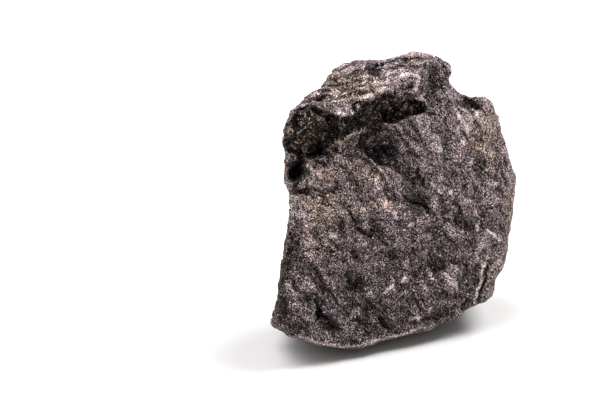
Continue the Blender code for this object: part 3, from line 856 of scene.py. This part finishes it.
def mark_colours(mesh):
    """Keeps on the mesh where the stone is dark, pale, ochre, rusty, veined or layered, and where
    light and shade are painted on it.
    """
    places, normals = drafted(mesh)
    wandered = wander(places, PATCH_WANDER)
    facing = smoothstep(*COLOUR_FACING, normals[:, 2])
    behind = 1.0 - facing
    broad = soft_noise(places, BROAD_SIZE)
    middling = soft_noise(places + SHIFT["middling patches"], MIDDLING_SIZE)
    front = front_share(wander(places, FRONT_WANDER), normals)
    ledge = ledge_share(places, normals) * (1.0 - front)
    # Dark stone, and painted shade on the ledge's front and in hollows, pits, gaps and undercuts.
    dark = np.max([
        front_dark_and_shade(places) * front,
        patches(wandered, DARK_AND_SHADED_PATCHES) * facing,
        hidden_patches(BEHIND_DARK, behind, broad + DARK_MIDDLING * middling),
    ], axis=0)
    # Pale stone, and painted light on the ledge's top and on the flank's top.
    pale = np.maximum(
        patches(wandered, PALE_AND_LIT_PATCHES) * facing + LEDGE_PALENESS_AND_LIGHT * ledge,
        hidden_patches(BEHIND_PALE, behind, -broad + PALE_MIDDLING * middling),
    )
    ochre = np.maximum(
        patches(wandered, OCHRE_PATCHES) * facing,
        hidden_patches(BEHIND_OCHRE, behind, middling),
    )
    # The stone's own tone, with all the painted light and shade above and the painted shade of the
    # unseen sides.
    write_share(mesh, "tone_and_painted_light", pale - dark - BEHIND_PAINTED_SHADE * behind)
    write_share(mesh, "ochre", ochre)
    write_share(mesh, "rust", patches(wandered, RUST_SPOTS) * facing)
    write_share(mesh, "vein", pale_marks_and_highlights(places) * facing)
    # Painted light from above: the upper part of the stone is paler.
    write_share(mesh, "high", smoothstep(*TOP_LIGHT_RANGE, places[:, 1]))
    write_share(mesh, "ledge", ledge)
    write_share(mesh, "level", patches(places, LEVEL_PATCHES) * facing)
    crumbled = np.maximum(front, patches(wandered, CRUMBLED_PATCHES) * facing)
    write_share(mesh, "crumbled", crumbled)
    # Painted light on points that stand out, painted shade in hollows.
    write_share(mesh, "painted_relief_light", painted_relief_light_share(mesh, places, normals))


# ---------------------------------------------------------------- shader nodes
def add_node(tree, kind, inputs=(), **settings):
    """A shader node with its settings, and its inputs set to values or linked to sockets."""
    node = tree.nodes.new(kind)
    for name, value in settings.items():
        setattr(node, name, value)
    for key, value in dict(inputs).items():
        if isinstance(value, bpy.types.NodeSocket):
            tree.links.new(value, node.inputs[key])
        else:
            node.inputs[key].default_value = value
    return node


def calculate(tree, operation, first, second, third=None, clamp=False):
    """The result of one sum, whose terms are numbers or sockets."""
    inputs = {0: first, 1: second}
    if third is not None:
        inputs[2] = third
    node = add_node(tree, "ShaderNodeMath", inputs, operation=operation, use_clamp=clamp)
    return node.outputs[0]


def times_plus(tree, value, factor, rest):
    """A value times a factor, plus the rest."""
    return calculate(tree, "MULTIPLY_ADD", value, factor, rest)


def mixed(tree, share, start, end):
    """A number between two others."""
    return add_node(tree, "ShaderNodeMix", {0: share, 2: start, 3: end}).outputs[0]


def tint(tree, share, start, end):
    """A colour between two others."""
    inputs = {0: share, 6: start, 7: end}
    return add_node(tree, "ShaderNodeMix", inputs, data_type="RGBA").outputs[2]


def kept_share(tree, name):
    """A share that is kept on the mesh."""
    return add_node(tree, "ShaderNodeAttribute", attribute_name=name).outputs["Fac"]


def lying_along(tree, place, direction, size, stretch):
    """Places in units of a size, and of a longer one along a drafting direction."""
    turn = (DRAFT_AXES @ Vector((*direction, 0.0))).to_track_quat("Z", "Y").to_euler()
    turned = add_node(
        tree, "ShaderNodeMapping",
        {"Vector": place, "Rotation": turn, "Scale": (size, size, size * stretch)},
        vector_type="TEXTURE",
    )
    return turned.outputs["Vector"]


def long_grain(tree, place, direction, size, stretch):
    """Two random values for each long grain that lies in a drafting direction."""
    along = lying_along(tree, place, direction, size, stretch)
    cells = add_node(tree, "ShaderNodeTexVoronoi", {"Vector": along, "Scale": 1.0})
    split = add_node(tree, "ShaderNodeSeparateColor", {0: cells.outputs["Color"]})
    return split.outputs[0], split.outputs[1]


def streaks(tree, place, direction):
    """Soft broad streaks that lie in a drafting direction."""
    along = lying_along(tree, place, direction, 1.0, STREAK_STRETCH)
    return add_node(tree, "ShaderNodeTexNoise", {"Vector": along, **STREAK_NOISE}).outputs["Fac"]


# ---------------------------------------------------------------- the stone's material
def grain_patterns(tree, place):
    """The grains at each place, by name: random values from 0 to 1."""
    ledge = kept_share(tree, "ledge")
    (falling, warm), (rising, cool) = (
        long_grain(tree, place, direction, GRAIN_SIZE, GRAIN_STRETCH) for direction in FACE_GRAIN
    )
    thin, thick = (
        long_grain(tree, place, LEDGE_GRAIN, width * GRAIN_SIZE, length * GRAIN_STRETCH)[0]
        for width, length in (LEDGE_THIN, LEDGE_THICK)
    )
    speck, glint = long_grain(tree, place, SPECK_GRAIN, SPECK_SIZE, SPECK_STRETCH)
    fine = add_node(tree, "ShaderNodeTexNoise", {"Vector": place, **FINE_NOISE}).outputs["Fac"]
    return {
        "first": mixed(tree, ledge, rising, thin),
        "second": mixed(tree, ledge, falling, thick),
        "warm": warm,
        "cool": cool,
        "speck": speck,
        "glint": glint,
        "fine": fine,
    }


def streak_pattern(tree, place):
    """Broad streaks: slanting on the face, level in places, and fainter on the ledge."""
    ledge = kept_share(tree, "ledge")
    pattern = streaks(tree, place, FACE_GRAIN[0])
    level = streaks(tree, place, LEVEL_STREAKS)
    pattern = mixed(tree, kept_share(tree, "level"), pattern, level)
    pattern = mixed(tree, ledge, pattern, streaks(tree, place, LEDGE_STREAKS))
    calm = calculate(tree, "MULTIPLY", ledge, LEDGE_CALM)
    return mixed(tree, calm, pattern, MIDDLE_STREAK)


def crumb_pattern(tree, place):
    """How much crumbs and lumps darken or brighten the crumbled stone, and how warm each is."""
    crumb, warm = long_grain(tree, place, CRUMB_GRAIN, CRUMB_SIZE, CRUMB_STRETCH)
    lump, _ = long_grain(tree, place, CRUMB_GRAIN, LUMP_SIZE * CRUMB_SIZE, CRUMB_STRETCH)
    uneven = times_plus(tree, lump, LUMP_SHARE, crumb)
    uneven = calculate(tree, "SUBTRACT", uneven, CRUMB_MIDDLE)
    return calculate(tree, "MULTIPLY", uneven, CRUMB_CONTRAST), warm


def stone_brightness(tree, grains, streak, crumbs):
    """The stone's brightness, with its painted light and shade, put together as a power of ten."""
    speck = grains["speck"]
    bright_speck_and_glint = calculate(tree, "POWER", speck, SPECK_RARITY)
    dark_speck = calculate(tree, "POWER", calculate(tree, "SUBTRACT", 1.0, speck), PIT_RARITY)
    calmer = -LEDGE_CALM * GRAIN_CONTRAST
    contrast = times_plus(tree, kept_share(tree, "ledge"), calmer, GRAIN_CONTRAST)
    in_streaks = times_plus(tree, streak, PATCH_IN_STREAKS, PATCH_LEAST)
    in_grains = times_plus(tree, grains["first"], MARK_IN_GRAINS, MARK_LEAST)
    depth = STONE_DEPTH
    for value, factor in [
        (grains["first"], GRAIN_CONTRAST),
        (grains["second"], contrast),
        # bright specks, partly painted glints
        (bright_speck_and_glint, SPECK_AND_GLINT_CONTRAST),
        (dark_speck, -PIT_CONTRAST),
        (grains["fine"], FINE_CONTRAST),
        (streak, STREAK_CONTRAST),
        # painted light on what stands out, painted shade in hollows
        (kept_share(tree, "painted_relief_light"), RELIEF_PAINTED_LIGHT),
        # painted light on the upper part
        (kept_share(tree, "high"), TOP_PAINTED_LIGHT),
        # tone, with painted light and shade on the ledge, hollows and unseen sides
        (kept_share(tree, "tone_and_painted_light"), in_streaks),
        # painted shade in creases
        (kept_share(tree, "painted_crease_shade"), -CREASE_PAINTED_SHADE),
        (crumbs, kept_share(tree, "crumbled")),
        # pale marks, and painted highlights on edges
        (calculate(tree, "MULTIPLY", in_grains, kept_share(tree, "vein")), VEIN_AND_HIGHLIGHT_LIFT),
    ]:
        depth = times_plus(tree, value, factor, depth)
    brightness = calculate(tree, "POWER", 10.0, depth)
    return calculate(tree, "MINIMUM", brightness, BRIGHTEST)


def stone_hue(tree, grains, crumb_warmth):
    """The stone's hue: warm and cool grains, ochre patches, and pale veins and painted highlights.
    """
    crumb_warmth = calculate(tree, "MULTIPLY", crumb_warmth, kept_share(tree, "crumbled"))
    warmth = times_plus(tree, grains["warm"], GRAIN_WARMTH, kept_share(tree, "ochre"))
    warmth = times_plus(tree, crumb_warmth, CRUMB_WARMTH, warmth)
    warmth = calculate(tree, "SUBTRACT", warmth, WARM_FROM, clamp=True)
    coolness = calculate(
        tree, "MULTIPLY_ADD", grains["cool"], GRAIN_COOLNESS, -COOL_FROM, clamp=True)
    hue = tint(tree, grains["second"], DARK_HUE, PALE_HUE)
    hue = tint(tree, coolness, hue, COOL_HUE)
    hue = tint(tree, warmth, hue, WARM_HUE)
    return tint(tree, kept_share(tree, "vein"), hue, VEIN_AND_HIGHLIGHT_HUE)


def rust_share(tree, fine):
    """Where the stone is rusty, with edges that are broken up by the fine noise."""
    start, full = (value + EDGE_BREAK / 2.0 for value in RUST_RANGE)
    uneven = times_plus(tree, fine, EDGE_BREAK, kept_share(tree, "rust"))
    ramp = add_node(
        tree, "ShaderNodeMapRange", {"Value": uneven, "From Min": start, "From Max": full},
        interpolation_type="SMOOTHSTEP",
    )
    return ramp.outputs["Result"]


def set_gloss(tree, shader, glint):
    """Dull stone with a few shiny specks."""
    rough = add_node(
        tree, "ShaderNodeMapRange", {"Value": glint, "To Min": DULLEST, "To Max": SHINIEST})
    shiny = calculate(tree, "POWER", glint, GLINT_RARITY)
    shiny = calculate(tree, "MULTIPLY", shiny, GLINT_STRENGTH)
    tree.links.new(rough.outputs["Result"], shader.inputs["Roughness"])
    tree.links.new(shiny, shader.inputs["Specular IOR Level"])


def set_bumps(tree, shader, grains):
    """Bumps from the fine noise and the long grains."""
    height = times_plus(tree, grains["second"], BUMP_GRAIN, grains["fine"])
    inputs = {"Height": height, "Strength": BUMP_STRENGTH, "Distance": BUMP_HEIGHT * MM}
    bump = add_node(tree, "ShaderNodeBump", inputs)
    tree.links.new(bump.outputs["Normal"], shader.inputs["Normal"])


def new_material(name):
    """A new material, its node tree and its shader."""
    material = bpy.data.materials.new(name)
    material.use_nodes = True
    return material, material.node_tree, material.node_tree.nodes["Principled BSDF"]


def stone_material():
    """Dark, fine-grained stone with painted light and shade, made in the stone's own millimetres.
    """
    material, tree, shader = new_material("dark stone")
    place = add_node(tree, "ShaderNodeTexCoord").outputs["Object"]
    in_mm = add_node(tree, "ShaderNodeMapping", {"Vector": place, "Scale": (1.0 / MM,) * 3})
    place = in_mm.outputs["Vector"]
    grains = grain_patterns(tree, place)
    crumbs, crumb_warmth = crumb_pattern(tree, place)
    brightness = stone_brightness(tree, grains, streak_pattern(tree, place), crumbs)
    hue = stone_hue(tree, grains, crumb_warmth)
    inputs = {0: hue, "Scale": brightness}
    colour = add_node(tree, "ShaderNodeVectorMath", inputs, operation="SCALE").outputs[0]
    colour = tint(tree, rust_share(tree, grains["fine"]), colour, RUST_COLOUR)
    tree.links.new(colour, shader.inputs["Base Color"])
    set_gloss(tree, shader, grains["glint"])
    set_bumps(tree, shader, grains)
    return material


# ---------------------------------------------------------------- the piece
def make_stone():
    """The solid's shape with relief, shares and the stone's material."""
    noise.seed_set(SURFACE_SEED)
    mesh = baked(fine_copy(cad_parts["rock"]), refine)
    roughen(mesh)
    mesh = baked(mesh, thin_out)
    mark_colours(mesh)
    mesh.materials.clear()
    mesh.materials.append(stone_material())
    mesh.shade_smooth()
    stone = new_object("stone", mesh)
    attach(stone, "root")
    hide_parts("rock")


# ---------------------------------------------------------------- floor, light and camera
def table_material():
    """A plain pale surface."""
    material, _, shader = new_material("pale table")
    shader.inputs["Base Color"].default_value = TABLE_COLOUR
    shader.inputs["Roughness"].default_value = TABLE_ROUGHNESS
    return material


def make_floor():
    """The table's top, level with the flat that the rock stands on."""
    mesh = bpy.data.meshes.new("floor")
    corners = [(-1, -1), (1, -1), (1, 1), (-1, 1)]
    corners = [(x * TABLE_REACH, y * TABLE_REACH, 0.0) for x, y in corners]
    mesh.from_pydata(corners, [], [(0, 1, 2, 3)])
    mesh.materials.append(table_material())
    floor = new_object("floor", mesh)


def make_studio():
    """The soft lights, and the even fill around them."""
    for name, direction, strength, width in KEY_LIGHTS:
        sun = bpy.data.lights.new(name, "SUN")
        sun.energy = strength
        sun.angle = math.radians(width)
        light = new_object(name, sun)
        light.rotation_euler = (-Vector(direction)).to_track_quat("-Z", "Y").to_euler()
    world = bpy.context.scene.world or bpy.data.worlds.new("studio")
    bpy.context.scene.world = world
    world.use_nodes = True
    background = world.node_tree.nodes["Background"]
    background.inputs["Color"].default_value = FILL_COLOUR
    background.inputs["Strength"].default_value = FILL_STRENGTH
    bpy.context.scene.view_settings.view_transform = "Standard"


def make_camera():
    """Looks straight along the drafting frame, from in front of the middle of the picture."""
    lens = bpy.data.cameras.new("camera")
    lens.lens = LENS
    lens.sensor_width = PICTURE_WIDTH
    lens.clip_start = NEAREST
    camera = new_object("camera", lens)
    place = from_draft(np.array([CAMERA_PLACE]))[0]
    camera.matrix_world = Matrix.Translation(Vector(place)) @ DRAFT_AXES.to_4x4()
    bpy.context.scene.camera = camera


make_camera()
make_stone()
make_floor()
make_studio()
